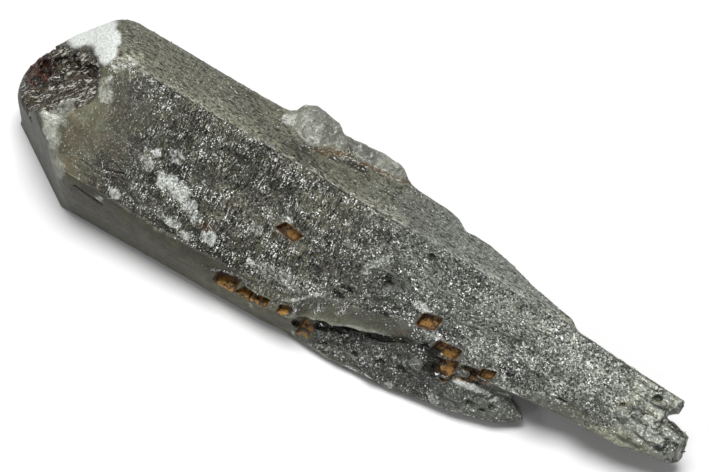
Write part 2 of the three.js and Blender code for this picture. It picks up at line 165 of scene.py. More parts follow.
def noise(points, size, seed):
    """Smooth value noise from -1 to 1."""
    q = points / np.asarray(size, float)
    base = np.floor(q)
    t = q - base
    t = t * t * (3 - 2 * t)
    total = np.zeros(len(q))
    for corner in np.ndindex(2, 2, 2):
        step = np.array(corner)
        weight = np.prod(np.where(step, t, 1 - t), axis=1)
        total += weight * random_vectors(base + step, seed)[:, 0]
    return total * 2 - 1


def rough(points, size, seed, octaves=3):
    """Noise with finer and fainter copies of itself."""
    size = np.asarray(size, float)
    total = sum(noise(points, size * 0.5 ** o, seed + o) * 0.5 ** o for o in range(octaves))
    return total / (2 - 0.5 ** (octaves - 1))


def cells(points, size, seed):
    """The nearest cell point: its random vector, the way to it, and the two least distances."""
    q = points / np.asarray(size, float)
    base = np.floor(q)
    first = np.full(len(q), 9)
    second = np.full(len(q), 9)
    chance = np.zeros((len(q), 3))
    offset = np.zeros((len(q), 3))
    for step in np.ndindex(3, 3, 3):
        cell = base + np.array(step) - 1
        way = q - (cell + random_vectors(cell, seed))
        distance = np.linalg.norm(way, axis=1)
        nearer = distance < first
        second = np.where(nearer, first, np.minimum(second, distance))
        first = np.where(nearer, distance, first)
        chance[nearer] = random_vectors(cell[nearer], seed + 77)
        offset[nearer] = way[nearer]
    return chance, offset, first, second


def bricks(points, size, seed):
    """Plates in staggered rows: their random numbers, and how far the edge is."""
    down = -points[:, 1]
    ragged = 0.16 * rough(points, 1.6, seed)
    row = down / size[1] + ragged
    step = random_vectors(np.stack([np.floor(row)] * 3, -1), seed)[:, 0]
    place = points[:, 0] / size[0] + step + ragged
    chance = random_vectors(np.stack([np.floor(place), np.floor(row), np.floor(row)], -1), seed + 7)[:, 0]
    inside = np.stack([place - np.floor(place), row - np.floor(row)], -1)
    edge = np.minimum(inside, 1 - inside) * np.asarray(size)
    return chance, edge.min(axis=1)


def facets(points, size, seed):
    """Height of flat facets, in parts of a cell."""
    chance, offset, _, _ = cells(points, size, seed)
    return np.einsum("ij,ij->i", chance - 0.5, offset)


def near(points, centre, radii, ragged=0.25, seed=5):
    """1 inside a ragged egg around a point, falling to 0 outside it."""
    reach = np.linalg.norm((points - np.asarray(centre)) / np.asarray(radii, float), axis=1)
    close = reach < 1.2 + ragged
    reach[close] += ragged * rough(points[close], float(np.mean(radii)) * 0.6, seed)
    return fading(0.75, 1.1, reach)


def along(points, start, end, width, ragged=0.5, seed=9):
    """1 on a ragged line, falling to 0 at its width."""
    start, way = np.asarray(start, float), np.subtract(end, start)
    share = np.clip((points - start) @ way / (way @ way), 0, 1)
    reach = np.linalg.norm(points - start - share[:, None] * way, axis=1) / width
    close = reach < 1.2 + ragged
    reach[close] += ragged * rough(points[close], width * 0.9, seed)
    return fading(0.4, 1, reach)


# ---- where things are

# Rust-filled moulds by the way they open: a point, and how far the rust reaches from it.
RUST = {
    (0, -0.35, 0.94): [
        ((-21.8, -27, 12), 5.6), ((-15.6, -26.8, 11.6), 4), ((-11.4, -26.5, 11.8), 3.6),
        ((-5, -25.6, 12), 2.6),
    ],
    FRONT_FACING: [
        ((-0.4, -25.4, 5.4), 3.4), (on_front(-11.8, 16.2, 2), 5), (on_front(29.5, 17.6, 2), 4.4),
        (on_front(36.4, 21.8, 2.6), 4.8), (on_front(38, 25.8, 3.6), 4.3), (on_front(43.4, 24, 3.6), 3.2),
        (on_front(48, 21.4, 2), 3.6), (on_front(79.9, 10), 1.3),
    ],
}
# Milky patches: a place, a reach and a strength. A place of two numbers lies on the front, at X and
# down from the ridge; a reach of two is along X and across.
MILK = [
    ((-51.5, 16.2), (1.5, 1.7, 1.5), 0.6), ((-52.6, 19.4), (2.4, 2, 1.8), 0.4),
    ((-45.5, 14.4), (2.4, 2, 1.8), 0.42), ((-45.6, 21.2), (3, 2.6, 2.2), 0.75),
    ((-41.8, 21.7), (2.8, 2.6, 2.2), 0.85), ((-38.6, 23.4), (3.2, 2, 1.8), 0.6),
    ((-35.4, 25.2), (2.4, 1.6, 1.4), 0.45), ((-56.6, 31), (1.8, 1.5), 0.7),
    ((-60.2, -27.2, 18.6), (1.1, 1, 1.3), 0.6), ((-40.1, 29.6), (2.6, 1.5, 1.4), 0.6),
    ((-36.1, 30.8), (2, 1.4), 0.5), ((-30, 28.1), (2.6, 1.8), 0.65), ((-48.9, 30), (2.2, 2, 1.8), 0.22),
    ((-44.1, 28.8), (2, 2, 1.8), 0.26), ((-53.4, 26.6), (1.8, 1.2), 0.26),
    ((-17.3, 27.9), (1.5, 0.8), 0.75), ((-12.3, 27.6), (5, 2), 0.32), ((-6.5, 27.6), (4.4, 2.4), 0.34),
    ((-19.7, 20.2), (2.2, 1.7), 0.4), ((-13.6, 14.2), (1.8, 1), 0.6), ((26.3, 15.4), (2.2, 1.2), 0.75),
    ((32.4, 19.8), (2.8, 1.4), 0.42), ((31.7, -17.2, 13.2), (0.8, 0.8), 0.8),
    ((-2.3, -26.4, 12), (1.9, 1.2, 1.5), 0.3), ((-80.8, -15.6, 28.8), (4.4, 5.4, 3), 0.4),
    ((-80.6, -21, 27.4), (1.8, 3.8, 3.2), 0.5), ((-73.4, -26.4, 20.6), (2.6, 2.4, 3), 0.5),
    ((-69.9, -8.5, 34.8), (2.6, 2.4, 1.8), 0.45), ((-70.5, -1.4, 39), (2.2, 1.8, 1.4), 0.42),
    ((-71.2, -6.6, 36.4), (2.6, 2.6, 2.2), 0.36), ((-68, 1, 39.8), (2.2, 1.4, 1.2), 0.4),
    ((-64.6, -0.4, 39.6), (2, 1.5, 1.4), 0.25), ((-82, 11.6, 34.4), (7, 2.4, 2), 0.28),
    ((-28, 12.9, 31.4), (2.4, 2.4, 2), 0.5), ((-24.4, 14, 33), (2.6, 2.2, 1.6), 0.3),
    ((41.9, -16.2, 11.9), (2.2, 2.2, 1.6), 0.26), ((55.2, -15, 13.4), (0.8, 0.8), 0.7),
    ((38.1, -23.2, 4.8), (2.4, 1.2), 0.4),
]
# Dark windows and small unlit holes: the same three values.
DARK = [
    ((-30.6, 6.8), (2.6, 1.4, 1.2), 0.7), ((-20.3, 8.4), (1.2, 2.2, 1.8), 0.6),
    ((-8.3, 2), (2.8, 1.2), 0.5), ((8.1, 2.4), (2.2, 1.2), 0.4), ((-44.8, 18), (1.7, 1.4), 0.8),
    ((-49.4, 22.8), (1.3, 1.8, 1.6), 0.8), ((-46.9, 25.9), (1.9, 1.3), 0.7),
    ((-53.7, 15.2), (2.4, 1.8, 1.6), 0.5), ((-57.6, 17), (2.6, 1.6), 0.4),
    ((-48, 12), (2.4, 1.8, 1.6), 0.6), ((-41.6, 32.2), (3.4, 1.4), 0.7), ((-33.6, 28.8), (1.9, 1.3), 0.75),
    ((-38, 15.6), (3.6, 3, 2.6), 0.4), ((-8, 24), (3.4, 2), 0.3), ((-6, 21.1), (1, 0.9), 0.8),
    ((-1.6, 21.1), (1.9, 1.4), 0.75), ((7.8, 21.2), (1.7, 0.9), 0.85), ((6.4, 23.6), (1.5, 0.9), 0.9),
    ((12, -22.6, 6.8), (1.7, 1.2), 0.9), ((6.8, -24.7, 3.6), (0.8, 0.8, 1), 0.9),
    ((15.1, -23.6, 5.1), (0.8, 0.7), 0.9), ((21.8, -22.4, 5.8), (1.1, 0.8), 0.9),
    ((27.4, -22.3, 7.4), (1.5, 0.9), 0.9), ((33.2, -17, 12.4), (1.9, 1.5), 0.95),
    ((34.8, -18.9, 10.4), (1.7, 1.6), 0.95), ((32.6, -16.8, 12.8), (1.8, 1.9, 1.4), 0.9),
    ((35, -19.4, 10), (1.7, 2.2, 1.9), 0.9), ((40.4, -18, 9.4), (0.9, 0.9, 1.6), 0.8),
    ((86.2, 0.8, 21.7), (1.3, 1, 1.2), 0.9), ((53.2, 18.7), (1.1, 0.7), 0.9), ((84, 9), (0.7, 0.6), 0.85),
    ((15.7, 14.1), (1.2, 1.5, 1.4), 0.95), ((22.8, 3.4), (0.8, 0.8), 0.9), ((19.2, 22), (0.8, 0.7), 0.9),
    ((92.6, -9.2, 13), (1.6, 1.2), 0.85), ((-89.6, -7.8, 25.4), (2.4, 1, 1.4), 0.95),
    ((-93.6, -8.4, 22.6), (2.4, 1.2, 1.6), 0.85), ((-97.6, -9.6, 19), (2, 1.2, 1.6), 0.7),
]
# Thin lines: start, end, width and how pale they are, or dark where negative.
LINES = [
    ((-4.6, -24.5, 14.6), (1.6, -20, 17.8), 0.8, 0.5), ((1.6, -20, 17.8), (5, -19, 17.6), 0.6, 0.3),
    ((-82, -17.8, 29.6), (-78.4, -21.6, 26.6), 3.4, 0.6), ((-78.4, -21.6, 26.6), (-76, -25, 21), 3.4, 0.46),
    ((-76, -25.2, 21), (-74.8, -26.6, 12), 3.4, 0.28), ((-74.8, -26.6, 12), (-72, -28, 3), 3.2, 0.18),
    ((1.4, -24.4, 11.4), (5, -23.3, 11.4), 1.3, 0.45), ((5, -23.3, 11.4), (9.5, -21.9, 11.4), 1.3, 0.4),
    ((9.5, -21.9, 11.4), (14.5, -20.3, 11.8), 1.6, 0.6),
    ((14.5, -20.3, 11.8), (19.3, -18.7, 11.6), 1.5, 0.65),
    ((19.3, -18.7, 11.6), (22.4, -17.4, 11), 1.2, 0.5),
    ((43.6, -17.2, 10.5), (50.4, -15.9, 9.4), 0.6, -0.9),
    ((24.6, -23.8, 6.4), (31.7, -19.9, 11.4), 0.7, 0.4), ((-73, -8.4, 35.4), (-70.4, -4.8, 37.6), 0.5, 0.6),
    ((-70, 2, 39.6), (-66.4, 1.4, 39.9), 0.5, 0.5), ((-68.4, 0.4, 40), (-67.2, -1.4, 39.4), 0.4, 0.45),
    ((-73.6, 12.6, 35.2), (-84, 12, 34), 1.2, 0.35), ((-13.9, -27.8, 9.4), (-13.6, -28, 7.8), 0.6, 0.8),
    ((-1.8, -26.8, 4.6), (-1.6, -26.8, 2.6), 0.7, 0.7),
    ((-61.5, -22, 24.3), (-53.2, -19.4, 25.1), 0.4, -0.7),
    ((-68, -27.7, 18.6), (-59.6, -27.7, 17), 0.5, -0.6),
    ((-61.5, -22, 24.3), (-64.5, -19, 26.6), 0.4, -0.5),
    # The dark rows along the cleft under the lip, from x -3.4 to 25.4, are painted shadow.
    ((-50, -20, 24.4), (-47.6, -22.6, 22.2), 0.5, -0.7), ((-3.4, -25.6, 12.6), (-1, -25.4, 7.2), 1.2, -1),
    ((-1, -25.2, 7), (3.8, -22.1, 6.4), 1.1, -0.95), ((3.8, -21.9, 6.5), (9.6, -20, 7.5), 1.5, -1),
    ((9.6, -19.8, 7.5), (16.1, -18.7, 8.2), 1.4, -0.95), ((16.1, -18.6, 8.2), (22, -16.8, 9.5), 1.2, -0.9),
    ((22, -17, 9.4), (25.4, -15.8, 11), 1.1, -0.7), ((-22, 6.6, 32.2), (-14, 8.6, 30.8), 1.5, -0.6),
    ((-14, 8.8, 30.6), (-4, 11.6, 28.6), 1.2, -0.7), ((31.4, -16.8, 14.6), (33.4, -17.2, 12.4), 1.4, -1),
    ((33.4, -17.2, 12.4), (35.2, -16, 13), 1.3, -1), ((34.3, -19.1, 10.3), (38.9, -18.9, 9.4), 1.4, -1),
    ((34.3, -18.4, 10.6), (35.8, -16.8, 11), 1.3, -1), ((39.6, -15.6, 11.2), (45, -15, 11.2), 0.9, -0.8),
    ((26, -20.6, 9.6), (30.4, -19.4, 11), 0.6, -0.7), ((66, -11.8, 15.2), (70.2, -11, 14.6), 0.7, -0.9),
    ((88.4, -9.2, 13.8), (94.6, -8.6, 13.4), 0.7, -1), ((9.6, -10.6, 23.5), (12.8, -6, 26.2), 1.5, 0.4),
    ((83.4, -4.2, 18.5), (85.6, -2.4, 20.2), 0.6, -0.7),
    ((-4.6, -25.6, 13.6), (-2.8, -25, 13.4), 0.5, -0.9),
]
# Dark notches beside the blade's moulds: the same four values.
NOTCHES = [
    ((30.9, -16.2, 13.3), (33.6, -16.4, 13), 1.8, 1), ((33, -17.2, 12.5), (34.6, -16.4, 12.8), 1.3, 1),
    ((33.8, -19.6, 9.8), (34.8, -18.2, 11.2), 1.8, 1), ((34.6, -19.8, 9.5), (36.4, -19.2, 9.8), 1.5, 1),
]
# The pale smooth sides of the laths: the same four values.
LATHS = [
    ((41, -18.6, 10), (52.6, -16.5, 8.3), 1.25, 0.85), ((47.4, -15.7, 11.4), (55.4, -13.6, 7.7), 0.8, 0.75),
]
# The lens, the side crystal with its flange, and the thick end's ripples: a point and its reach.
LENS = ((41.8, -15.6, 11), (2.7, 1.9, 1.9))
GROWTHS = (((-21, 14.5, 30.5), (10.5, 8.5, 6)), ((-4, 17, 27.5), (11, 5, 5)))
RIPPLED = ((-58, -23, 23), (12, 6.5, 6))
# Brown iron stain: start, end, reach and strength.
STAIN = [
    ((-17, 8.4, 31), (-12, 11.6, 29.2), 1.7, 0.85), ((-12, 12.2, 29), (-3, 13.4, 27.4), 1.5, 0.6),
    ((-3, 13.6, 27.4), (5.4, 15.8, 25.4), 1.4, 0.7), ((-30.2, 13, 30), (-29, 11.6, 30.2), 1.2, 0.6),
    ((-28.6, -14.6, 25.6), (-27.2, -13.2, 26.4), 1.3, 0.35),
    ((-32.6, -21.2, 21.4), (-29.6, -20, 21.6), 1.4, 0.5), ((-5.2, -25, 13.6), (-4, -24.6, 14), 0.8, 0.8),
    ((22.8, -17.4, 14), (25.6, -15.6, 16.4), 0.9, 0.7),
    ((-36.6, -24.6, 19.4), (-35.6, -24.2, 19.6), 1, 0.4),
    ((-14.6, -14.6, 24.4), (-13.8, -15.4, 24), 1.2, 0.3),
]
# Broad areas of the quartz: a point, their reach and how much lighter they are.
SHADES = [
    # The first two rows darken the foot of the side crystal and the flange: partly painted shade where they
    # meet the body.
    ((-18.5, 3.6, 33.4), (5, 3, 2.8), -0.45), ((-8, 14.5, 29), (5.6, 4.6, 3.4), -0.5),
    ((56, -11.4, 17), (7, 3.2, 3), -0.65), ((18.5, -12, 21.8), (7, 5, 4.2), -0.34),
    ((4, -10, 25), (12, 4.6, 4.4), -0.22), ((-28.4, -26, 16.4), (10, 3.4, 4), -0.45),
    ((-24, -13.6, 25.4), (13, 6, 5), 0.42), ((-72.4, -12, 33.2), (5.6, 9, 6.4), 0.6),
    ((-68.6, 0.6, 39.6), (5, 4.4, 3.2), 0.6), ((-71.4, -26.4, 21), (6, 3.6, 6), 0.7),
    ((48.4, -3.6, 23.8), (10, 4.6, 4), 0.42), ((76, -3, 20.4), (9, 3.8, 3.2), 0.42),
    ((7.5, 2, 32), (9, 3.6, 3.2), 0.3), ((78, -9.6, 15.8), (9, 2.8), -0.34),
]
# The deep red glassy part of the fracture.
RED = ((-97.4, -4.6, 21.4), (5.6, 5.6, 5.2))
# The white bruise on the flat break.
BRUISE = [
    ((-88, 6, 29.6), (7, 4.6, 5)), ((-82.6, 7.2, 33.8), (5.6, 5.4, 5)), ((-78, 4, 37), (4.8, 5, 4)),
    ((-75.4, 0.2, 38.8), (3.4, 3.6, 3)),
]
# Rays that look for hollows: how many, their slant and their reach.
SHELTER_RAYS = 10
SHELTER_TILT = (0.82, 0.57)
SHELTER_REACH = 6
# The fracture also lies below this plane.
BREAK_PLANE = ((-75.3, -4.8, 38.1), (-0.567, -0.084, 0.82))
# The way the fracture's splinters lie, across them, and out of the fracture.
SPLINTER_WAYS = ((0.643, 0.579, 0.5), (-0.52, 0.81, -0.27), BREAK_PLANE[1])
# How much of the height over the front is left out of a patch's reach.
PATCH_DEPTH = 0.65
# The masks that the material reads.
MATERIAL_MASKS = """back fracture bruise milk dark stain red rust floor clear grain streak side
frosted end flank rippled tone""".split()


def below(points, at, facing):
    """How deep a point is under a plane."""
    facing = np.asarray(facing, float) / np.linalg.norm(facing)
    return -(points - np.asarray(at)) @ facing


def sheltered(tree, points, normals, chosen):
    """The share of slanting rays that soon meet the crystal again."""
    share = np.zeros(len(points))
    turns = [math.tau * i / SHELTER_RAYS for i in range(SHELTER_RAYS)]
    for i in np.nonzero(chosen)[0]:
        start = Vector(points[i] + normals[i] * 0.1)
        across = Vector(normals[i]).orthogonal().normalized()
        beyond = across.cross(Vector(normals[i]))
        met = 0
        for turn in turns:
            side = across * math.cos(turn) + beyond * math.sin(turn)
            way = side * SHELTER_TILT[0] + Vector(normals[i]) * SHELTER_TILT[1]
            met += tree.ray_cast(start, way, SHELTER_REACH)[0] is not None
        share[i] = met / SHELTER_RAYS
    return share


def spot(at, reach):
    """A full place and reach; the MILK table tells what two numbers stand for."""
    return (on_front(*at) if len(at) == 2 else at), (reach[0], reach[1], reach[-1])


def strongest(points, rows, ragged=0.6):
    """The strongest of a table's patches; those of the front reach deep into it."""
    outward = np.array(FRONT_FACING) / np.linalg.norm(FRONT_FACING)
    total = np.zeros(len(points))
    for number, (at, reach, strength) in enumerate(rows):
        centre, radii = spot(at, reach)
        height = (points - np.asarray(centre)) @ outward
        flat = points - PATCH_DEPTH * (centre[1] < 0) * height[:, None] * outward
        total = np.maximum(total, strength * near(flat, centre, radii, ragged, 5 + number))
    return total


def drawn(points, rows, ragged=0.5):
    """The strongest of a table's lines at each point."""
    total = np.zeros(len(points))
    for number, (start, end, width, strength) in enumerate(rows):
        total = np.maximum(total, strength * along(points, start, end, width, ragged, 40 + number))
    return total


def fracture_zone(points, front_depth, break_depth, wobble):
    """The fracture, under both the front and the flat break."""
    x, y, z = points.T
    zone = smooth(0.25, 0.6, front_depth) * smooth(0.25, 0.6, break_depth)
    zone = zone * fading(*FRACTURE_ENDS, x) * smooth(16.4, 17.6, z + wobble)
    return zone * smooth(-18.5, -16.5, y) * fading(2.6, 3.6, y + wobble)


def clear_zone(points, normals, front_depth, back, side, wobble):
    """Glassy, brownish and see-through parts."""
    x, y, z = points.T
    clear = fading(*GLASS_FADES, x + 6 * wobble + 0.45 * (y + 14)) * (1 - back)
    brow = smooth(0.2, 0.6, front_depth) * smooth(-5, -1, x) * fading(22, 26, x)
    brow = brow * smooth(8.4, 10, z) * smooth(14, 16, -y)
    clear = np.maximum(clear, brow * (1 - 0.5 * smooth(14, 18, z + wobble)))
    skirt = smooth(0.7, 0.9, -normals[:, 1]) * fading(*SKIRT_ENDS, x)
    clear = np.maximum(clear, 0.8 * skirt)
    blade_edge = smooth(16, 18, -y) * fading(2.6, 5, z + 0.5 * wobble)
    blade_edge = blade_edge * smooth(*BLADE_BEGINS, x)
    clear = np.maximum(clear, 0.8 * blade_edge)
    tip_edge = smooth(0.3, 0.9, front_depth) * smooth(60, 68, x) * smooth(9, 11, -y)
    top_edge = smooth(*TOP_EDGE_PALES, x + 2 * wobble) * smooth(0.1, 0.35, normals[:, 1])
    return np.maximum.reduce([clear, 0.6 * tip_edge, 0.8 * top_edge, side])


def facing(normals, way):
    """How squarely each normal looks along a way, from -1 to 1."""
    return normals @ np.array(way) / np.linalg.norm(way)


def thin(field, width):
    """1 along the lines where a noise is 0, falling to 0 at a width."""
    return fading(0, width, np.abs(field))


def bruise_zone(points, break_depth):
    """The white bruise on the flat break."""
    zone = np.zeros(len(points))
    for centre, radii in BRUISE:
        zone = np.maximum(zone, near(points, centre, radii, 0.2))
    return zone * fading(0.5, 1, np.abs(break_depth))


def rust_zone(points, normals, tree):
    """The rust in the moulds, and which of it lies on their floors; off the floors the rust is painted
    darker as shade.
    """
    rust = np.zeros(len(points))
    floor = np.zeros(len(points))
    for way, rows in RUST.items():
        level = smooth(0.55, 0.8, facing(normals, way))
        for centre, reach in rows:
            share = near(points, centre, (reach,) * 3, 0.1)
            floor = np.where(share > rust, level, floor)
            rust = np.maximum(rust, share)
    rust = rust * smooth(0.15, 0.5, sheltered(tree, points, normals, rust > 0))
    return rust * (1 - 0.9 * near(points, *LENS, 0.05)), floor


def blade_zone(points, normals, front_depth):
    """The lower blade's upper side, which the lip hangs over."""
    x, y, z = points.T
    zone = smooth(-0.1, 0.25, normals[:, 2]) * smooth(*BLADE_BEGINS, x) * smooth(1.6, 3, front_depth)
    on_lip = smooth(9, 10.2, z) * fading(23, 26, x)
    return zone * smooth(11, 13, -y) * (1 - on_lip)


def tip_zone(points, normals, front_depth, wobble):
    """The flaky tip, with its blunt end."""
    x = points[:, 0]
    zone = smooth(*TIP_BEGINS, x + 3 * wobble) * smooth(-0.2, 0.3, normals[:, 2])
    zone = zone * fading(1, 2.4, front_depth)
    blunt_end = smooth(0.3, 0.6, normals[:, 0]) * smooth(*TIP_ENDS, x)
    return np.maximum(zone, 0.8 * blunt_end)


def dark_zone(points, tip, plate_edge):
    """Windows, gaps, and the cracks between the tip's plates; the dark lines in the cleft under the lip are
    painted shadow.
    """
    gaps = drawn(points, [(start, end, width, -pale) for start, end, width, pale in LINES])
    gaps = gaps * (0.2 + 0.8 * smooth(-0.4, 0.2, noise(points, *GAP_BREAKS)))
    dark = np.maximum.reduce([strongest(points, DARK, 0.3), gaps, drawn(points, NOTCHES, 0.12)])
    cracks = tip * fading(0.12, 0.5, plate_edge) * smooth(-0.4, 0.1, rough(points, *CRACKS))
    return np.maximum(dark, 0.9 * cracks)


def grain_zone(points, zone, front_depth, wobble):
    """Where fine hillocks cover the faces, faint at the thick end."""
    x, y, z = points.T
    grain = zone["front"] * smooth(*GRAIN_GROWS, x + 8 * wobble + 0.25 * (y + 12))
    grain = np.maximum(grain, 0.5 * zone["blade"])
    brow = smooth(0.2, 0.6, front_depth) * smooth(-4, 0, x) * smooth(14, 18, z + wobble)
    brow = 0.25 * brow * (1 - zone["blade"]) * fading(26, 30, x)
    grain = np.maximum(grain, brow * smooth(12, 14, -y))
    grain = (grain + (0.5 - grain) * zone["tip"]) * (1 - zone["rust"])
    grain = grain * (1 - 0.9 * zone["dark"]) * (1 - zone["fracture"])
    return np.maximum(grain, 0.45 * zone["rear"] * smooth(-0.1, 0.35, rough(points, *VEILED)))


def milk_zone(points, zone):
    """Milky patches and lines, crumbs, veins and veils."""
    x, y, z = points.T
    lines = np.maximum(drawn(points, LINES), drawn(points, LATHS, 0.12))
    milk = np.maximum(strongest(points, MILK), lines) * (0.85 + 0.3 * noise(points, *MILK_UNEVEN))
    crumbs = smooth(2, 6, x) * fading(3.5, 6, z) * smooth(14, 16, -y)
    crumbs = crumbs * smooth(0.05, 0.35, rough(points, *CRUMBS))
    veins = zone["side"] * thin(rough(points, *VEINS), 0.14)
    veils = zone["rear"] * thin(rough(points, *VEILS), 0.22)
    veils = 0.34 * veils * smooth(-0.2, 0.4, rough(points, *VEILED))
    return np.maximum.reduce([milk, 0.45 * crumbs, 0.5 * veins, veils])


def masks(points, normals, tree):
    """What the surface is like at each point, from 0 to 1, and its tone."""
    x = points[:, 0]
    wobble = rough(points, *WOBBLE)
    front_depth = below(points, on_front(0, 0), FRONT_FACING)
    above_back = -below(points, on_front(0, 0), BACK_FACING)
    break_depth = below(points, *BREAK_PLANE)
    front = smooth(0.86, 0.97, facing(normals, FRONT_FACING))
    front = front * fading(1.2, 2.4, np.abs(front_depth))
    back = smooth(0.9, 0.98, facing(normals, BACK_FACING))
    back = back * fading(0.3, 0.8, above_back) * (1 - front)
    side = np.maximum(*(near(points, *growth, 0.1) for growth in GROWTHS))
    side = side * smooth(0.3, 0.8, above_back)
    rear = smooth(0.25, 0.6, normals[:, 1]) * (1 - back) * (1 - side)
    fracture = fracture_zone(points, front_depth, break_depth, wobble)
    rust, floor = rust_zone(points, normals, tree)
    tip = tip_zone(points, normals, front_depth, wobble)
    plates, plate_edge = bricks(points, *PLATES)
    zone = dict(
        front=front, back=back, side=side, rear=rear, fracture=fracture, rust=rust, floor=floor,
        tip=tip, plates=plates, bruise=bruise_zone(points, break_depth) * (1 - fracture),
        dark=dark_zone(points, tip, plate_edge), stain=drawn(points, STAIN),
        red=near(points, *RED, 0.4, 3) * fracture, rippled=near(points, *RIPPLED, 0.4),
        clear=clear_zone(points, normals, front_depth, back, side, wobble),
        blade=blade_zone(points, normals, front_depth), streak=fading(*STREAKS_FADE, x + 10 * wobble),
        frosted=smooth(0.6, 0.85, -normals[:, 1]) * fading(*SKIRT_ENDS, x),
        end=smooth(0.9, 0.97, normals @ np.array(END_FACING)) * fading(*OLD_FACE_ENDS, x),
        flank=np.maximum(rear, smooth(0.1, 0.5, -normals[:, 2])) * (1 - side) * (1 - back),
    )
    zone["grain"] = grain_zone(points, zone, front_depth, wobble)
    zone["milk"] = milk_zone(points, zone)
    zone["tone"] = tone(points, zone, wobble)
    return zone


def tone(points, zone, wobble):
    """How light the plain quartz is, in parts of its mean."""
    x, y, z = points.T
    front = 0.56 + 0.6 * smooth(-30, 40, x) + 1.26 * smooth(30, 70, x)
    rest = 1.1 + 0.5 * smooth(0, 60, x)
    level = rest + (front - rest) * np.maximum(zone["front"], zone["tip"])
    on_blade = 0.39 + 0.6 * smooth(36, 44, x) + 0.4 * smooth(46, 56, x)
    level = level + (on_blade - level) * zone["blade"] * (1 - zone["tip"])
    thick_end = zone["front"] * fading(-70, -45, x)
    pale_lip = fading(9.5, 15, z + wobble)
    lip = (1 - zone["frosted"]) * smooth(-2, 2, x) * (1 - zone["blade"])
    lip = lip * (0.35 + 1.5 * pale_lip * smooth(6.5, 8.5, z))
    skirt = zone["frosted"] * (0.3 * smooth(-45, -20, x) - 0.03)
    plain = 0.34 - 0.06 * zone["end"] + 0.5 * thick_end + lip + skirt
    level = level + (plain - level) * zone["clear"] * (1 - zone["side"])
    level = level + (1.36 - level) * zone["side"]
    level = level * (1 + zone["tip"] * (1.5 * zone["plates"] - 0.35))
    level = level + 0.5 * smooth(*TOP_EDGE_PALES, x) * np.maximum(zone["back"], zone["rear"])
    ridge_band = zone["back"] * fading(1.5, 5, y - RIDGE["y"])
    level = level * (1 + 0.18 * ridge_band - 0.1 * zone["flank"])
    for number, (at, reach, lighter) in enumerate(SHADES):
        level = level * (1 + lighter * near(points, *spot(at, reach), 0.3, 120 + number))
    uneven = 0.5 * rough(points, *CLOUDS) + 0.4 * rough(points, *PATCHES)
    uneven = (1 - 0.5 * zone["back"]) * uneven
    uneven = uneven * (1 + 0.5 * zone["flank"] + 0.4 * zone["front"] * (1 - zone["clear"]))
    striped = noise(points, *STRIPES) * zone["flank"]
    return level * (1 + uneven + 0.1 * wobble + 0.25 * striped)


# ---- the crystal's fine mesh


def read(things, name, width=1, kind=float):
    """One property of all points, edges, corners or faces."""
    values = np.empty(len(things) * width, kind)
    things.foreach_get(name, values)
    return values.reshape(-1, width) if width > 1 else values


def move(mesh, points):
    mesh.vertices.foreach_set("co", (points * MM).ravel())
    mesh.update()


def added(name, data):
    """A new object in the scene."""
    thing = bpy.data.objects.new(name, data)
    bpy.context.scene.collection.objects.link(thing)
    return thing


def applied(thing, kind, **settings):
    """The object's mesh with one modifier applied."""
    modifier = thing.modifiers.new("step", kind)
    for name, value in settings.items():
        setattr(modifier, name, value)
    graph = bpy.context.evaluated_depsgraph_get()
    mesh = bpy.data.meshes.new_from_object(thing.evaluated_get(graph))
    thing.modifiers.remove(modifier)
    thing.data = mesh
    return mesh


def worn(mesh, points, share):
    """Moves each point towards the middle of its neighbours, by its share."""
    pairs = read(mesh.edges, "vertices", 2, int)
    first, second = pairs.T
    neighbours = np.bincount(pairs.ravel(), minlength=len(points))[:, None]
    for _ in range(WEAR_TURNS):
        total = np.stack([
            np.bincount(first, points[second, axis], len(points))
            + np.bincount(second, points[first, axis], len(points)) for axis in range(3)
        ], -1)
        points = points + share[:, None] * (total / neighbours - points)
    return points


def wear(points):
    """How worn the edges are: least at the tip and around the laths."""
    x = points[:, 0]
    share = 0.9 - 0.45 * smooth(-60, -10, x) - 0.25 * smooth(20, 60, x)
    return share * (1 - 0.85 * near(points, *AROUND_LATHS, 0.1))


def relief(points, zone):
    """How far each point is sunk below the plain faces."""
    streaky = facets(points, (0.9, 2.4, 2.4), 31)
    grainy = facets(points, (1.3, 1.3, 1.3), 33)
    fine = np.where(zone["streak"] > 0.5, streaky, grainy) * 0.4
    chance, _, first, second = cells(points, (7, 5, 5), 41)
    terrace = (chance[:, 0] - 0.5) * 0.5 * smooth(0, 0.12, second - first)
    hill = zone["grain"] * (0.26 + fine + terrace)
    splinters = facets(points, (2.4, 1.6, 1.4), 51) + 0.5 * rough(points, (3, 1, 1), 52)
    broken = zone["fracture"] * (0.7 + 0.9 * splinters)
    flaky = zone["tip"] * (1 - 0.8 * zone["plates"] + 0.25 * facets(points, (2, 1.2, 1.2), 53))
    lumps = zone["side"] * (0.6 + 0.7 * facets(points, 3.4, 71) + 0.16 * rough(points, 1.6, 72))
    ledges = zone["rear"] * (0.2 + 0.3 * facets(points, (1.1, 9, 9), 73) + 0.12 * rough(points, 3, 74))
    holes = zone["dark"] * (1 - zone["fracture"]) * (1 - zone["tip"])
    plain = 0.08 * rough(points, 4, 61) + 0.06
    return hill + broken + flaky + lumps + ledges + holes + plain


def store(mesh, zone, source):
    """Keeps the masks on a mesh; each point takes those of its source point."""
    for name in MATERIAL_MASKS:
        layer = mesh.attributes.new(name, "FLOAT", "POINT")
        layer.data.foreach_set("value", zone[name][source].astype(np.float32))


def nearest(points, queries):
    """For each query, the number of the nearest point."""
    tree = KDTree(len(points))
    for i, point in enumerate(points):
        tree.insert(point, i)
    tree.balance()
    return np.array([tree.find(query)[1] for query in queries])


def in_box(points):
    """Keeps points inside the solid's own box."""
    lowest, highest = (np.array(corner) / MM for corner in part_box(NODE))
    return np.clip(points, lowest, highest)


